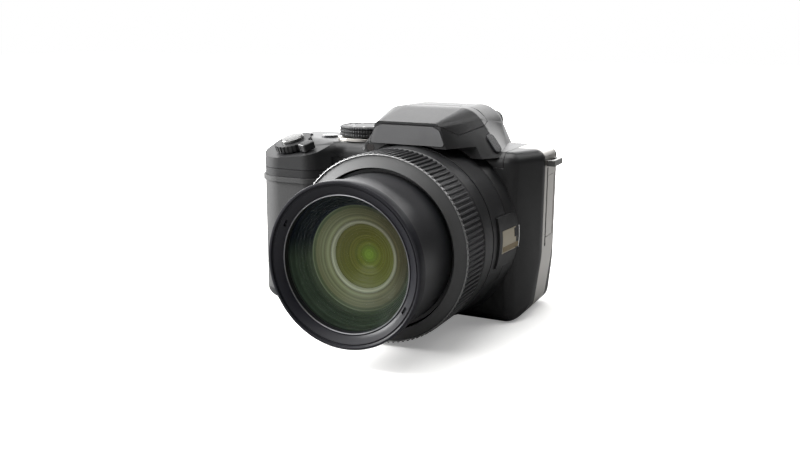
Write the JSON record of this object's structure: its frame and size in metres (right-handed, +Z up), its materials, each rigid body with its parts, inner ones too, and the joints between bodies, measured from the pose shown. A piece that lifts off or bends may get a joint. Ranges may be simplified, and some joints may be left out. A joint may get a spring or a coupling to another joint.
{
  "type": "bridge camera",
  "caption": "Bridge camera with a run-out zoom lens, deep hand grip, viewfinder hump with a lifting flash, top dial and buttons, rear screen and side and battery doors.",
  "frame": {"origin": "on the flat underside, straight below the lens axis, 6 mm behind the body's front wall", "axes": "+Z up; the lens looks along -Y; the hand grip is at -X"},
  "size_m": [0.1248, 0.1186, 0.084],
  "materials": {
    "body_shell": "fine-textured black",
    "grip_rubber": "soft grained black",
    "light_band": "satin champagne",
    "bright_metal": "polished",
    "dark_metal": "black anodised",
    "barrel_black": "satin black",
    "plate_grey": "fine-textured dark grey",
    "glass_clear": "coated",
    "window_clear": "clear",
    "lamp_red": "translucent",
    "screen_black": "gloss",
    "steel_parts": "machined",
    "frame_metal": "pressed",
    "board_green": "satin",
    "cell_wrap": "satin",
    "gear_white": "moulded",
    "button_black": "satin"
  },
  "bodies": {
    "camera_body": {"front_cover": "body_shell", "top_cover": "body_shell", "rear_cover": "body_shell", "side_band": "light_band", "base_plate": "body_shell", "rubber_grips": "grip_rubber", "nameplate": "plate_grey", "badge_plate": "light_band", "lamp_window": "lamp_red", "strap_lugs": "steel_parts", "case_screws": "steel_parts", "tripod_bush": "steel_parts", "inner_frame": "frame_metal", "battery": "cell_wrap", "lens_housing": "barrel_black", "ribbed_sleeve": "barrel_black", "silver_ring": "bright_metal", "name_ring": "barrel_black", "guide_tube": "barrel_black", "lens_base": "frame_metal", "lens_motors": "steel_parts", "guide_rods": "steel_parts", "image_sensor": "screen_black", "circuit_boards": "board_green", "dial_bezel": "bright_metal", "hinge_pins": "steel_parts", "screen": "screen_black", "finder_tube": "barrel_black", "finder_optics": "window_clear", "eyecup": "grip_rubber"},
    "middle_barrel": {"middle_barrel": "dark_metal", "zoom_carrier": "barrel_black", "zoom_lens": "glass_clear", "iris_unit": "barrel_black"},
    "front_barrel": {"front_barrel": "dark_metal", "front_ring": "barrel_black", "front_cell": "barrel_black", "front_glass": "glass_clear", "inner_ring": "plate_grey", "inner_glass": "glass_clear"},
    "cam_ring": {"cam_ring": "gear_white"},
    "zoom_pinion": {"zoom_pinion": "gear_white"},
    "focus_group": {"focus_group": "barrel_black"},
    "shutter_button": {"shutter_button": "button_black"},
    "zoom_lever": {"zoom_lever": "body_shell"},
    "drive_button": {"drive_button": "button_black"},
    "power_button": {"power_button": "button_black"},
    "mode_dial": {"mode_dial": "dark_metal"},
    "flash_unit": {"flash_lid": "body_shell", "flash_head": "barrel_black", "flash_window": "window_clear"},
    "flash_button": {"flash_button": "button_black"},
    "record_button": {"record_button": "button_black"},
    "menu_button": {"menu_button": "button_black"},
    "pad_ring": {"pad_ring": "button_black"},
    "centre_button": {"centre_button": "button_black"},
    "dioptre_wheel": {"dioptre_wheel": "button_black"},
    "port_door": {"port_door": "light_band"},
    "battery_door": {"battery_door": "body_shell"},
    "battery_latch": {"battery_latch": "body_shell"}
  },
  "joints": [
    {"name": "middle_barrel_slide", "type": "slide", "parent": "camera_body", "child": "middle_barrel", "axis": [0, -1, 0], "range_m": [-0.0125, 0.015]},
    {"name": "front_barrel_slide", "type": "slide", "parent": "middle_barrel", "child": "front_barrel", "axis": [0, -1, 0], "range_m": [-0.0125, 0.015]},
    {"name": "cam_ring_turn", "type": "hinge", "parent": "camera_body", "child": "cam_ring", "pos_m": [0, 0, 0.036], "axis": [0, 1, 0], "range_deg": [-50.5, 60.5]},
    {"name": "zoom_pinion_turn", "type": "hinge", "parent": "camera_body", "child": "zoom_pinion", "pos_m": [-0.0378, 0, 0.036], "axis": [0, 1, 0], "range_deg": [-490, 410]},
    {"name": "focus_slide", "type": "slide", "parent": "camera_body", "child": "focus_group", "axis": [0, -1, 0], "range_m": [-0.003, 0.003]},
    {"name": "shutter_press", "type": "slide", "parent": "camera_body", "child": "shutter_button", "axis": [0.1176, 0.294, -0.9485], "range_m": [0, 0.0012], "stiffness_N_per_m": 1200},
    {"name": "zoom_lever_turn", "type": "hinge", "parent": "camera_body", "child": "zoom_lever", "pos_m": [-0.0605, -0.008, 0.06484], "axis": [-0.1176, -0.294, 0.9485], "range_deg": [-20, 20], "stiffness_Nm_per_rad": 0.02},
    {"name": "drive_press", "type": "slide", "parent": "camera_body", "child": "drive_button", "axis": [0, 0, -1], "range_m": [0, 0.0008], "stiffness_N_per_m": 1200},
    {"name": "power_press", "type": "slide", "parent": "camera_body", "child": "power_button", "axis": [0, 0, -1], "range_m": [0, 0.0008], "stiffness_N_per_m": 1200},
    {"name": "mode_dial_turn", "type": "hinge", "parent": "camera_body", "child": "mode_dial", "pos_m": [-0.0353, 0.0085, 0.072], "axis": [0, 0, 1], "continuous": true},
    {"name": "flash_lift", "type": "hinge", "parent": "camera_body", "child": "flash_unit", "pos_m": [0, 0.0054, 0.0822], "axis": [-1, 0, 0], "range_deg": [0, 50]},
    {"name": "flash_release_press", "type": "slide", "parent": "camera_body", "child": "flash_button", "axis": [-0.7543, 0.3607, -0.5486], "range_m": [0, 0.0005], "stiffness_N_per_m": 1200},
    {"name": "record_press", "type": "slide", "parent": "camera_body", "child": "record_button", "axis": [0, -1, 0], "range_m": [0, 0.0006], "stiffness_N_per_m": 1200},
    {"name": "menu_press", "type": "slide", "parent": "camera_body", "child": "menu_button", "axis": [0, -1, 0], "range_m": [0, 0.0006], "stiffness_N_per_m": 1200},
    {"name": "pad_press", "type": "slide", "parent": "camera_body", "child": "pad_ring", "axis": [0, -1, 0], "range_m": [0, 0.0006], "stiffness_N_per_m": 1200},
    {"name": "centre_press", "type": "slide", "parent": "camera_body", "child": "centre_button", "axis": [0, -1, 0], "range_m": [0, 0.0006], "stiffness_N_per_m": 1200},
    {"name": "dioptre_turn", "type": "hinge", "parent": "camera_body", "child": "dioptre_wheel", "pos_m": [-0.0212, 0.027, 0.074], "axis": [1, 0, 0], "continuous": true},
    {"name": "port_door_turn", "type": "hinge", "parent": "camera_body", "child": "port_door", "pos_m": [0.0422, 0.0238, 0.0445], "axis": [0, 0, 1], "range_deg": [0, 100]},
    {"name": "battery_door_turn", "type": "hinge", "parent": "camera_body", "child": "battery_door", "pos_m": [-0.0686, 0.005, 0.0009], "axis": [0, 1, 0], "range_deg": [0, 90]},
    {"name": "battery_latch_slide", "type": "slide", "parent": "battery_door", "child": "battery_latch", "axis": [-1, 0, 0], "range_m": [0, 0.002]}
  ],
  "couplings": [
    {"joint": "front_barrel_slide", "follows": "middle_barrel_slide", "ratio": 1},
    {"joint": "cam_ring_turn", "follows": "middle_barrel_slide", "rad_per_m": 69.813},
    {"joint": "zoom_pinion_turn", "follows": "middle_barrel_slide", "rad_per_m": -558.51}
  ]
}
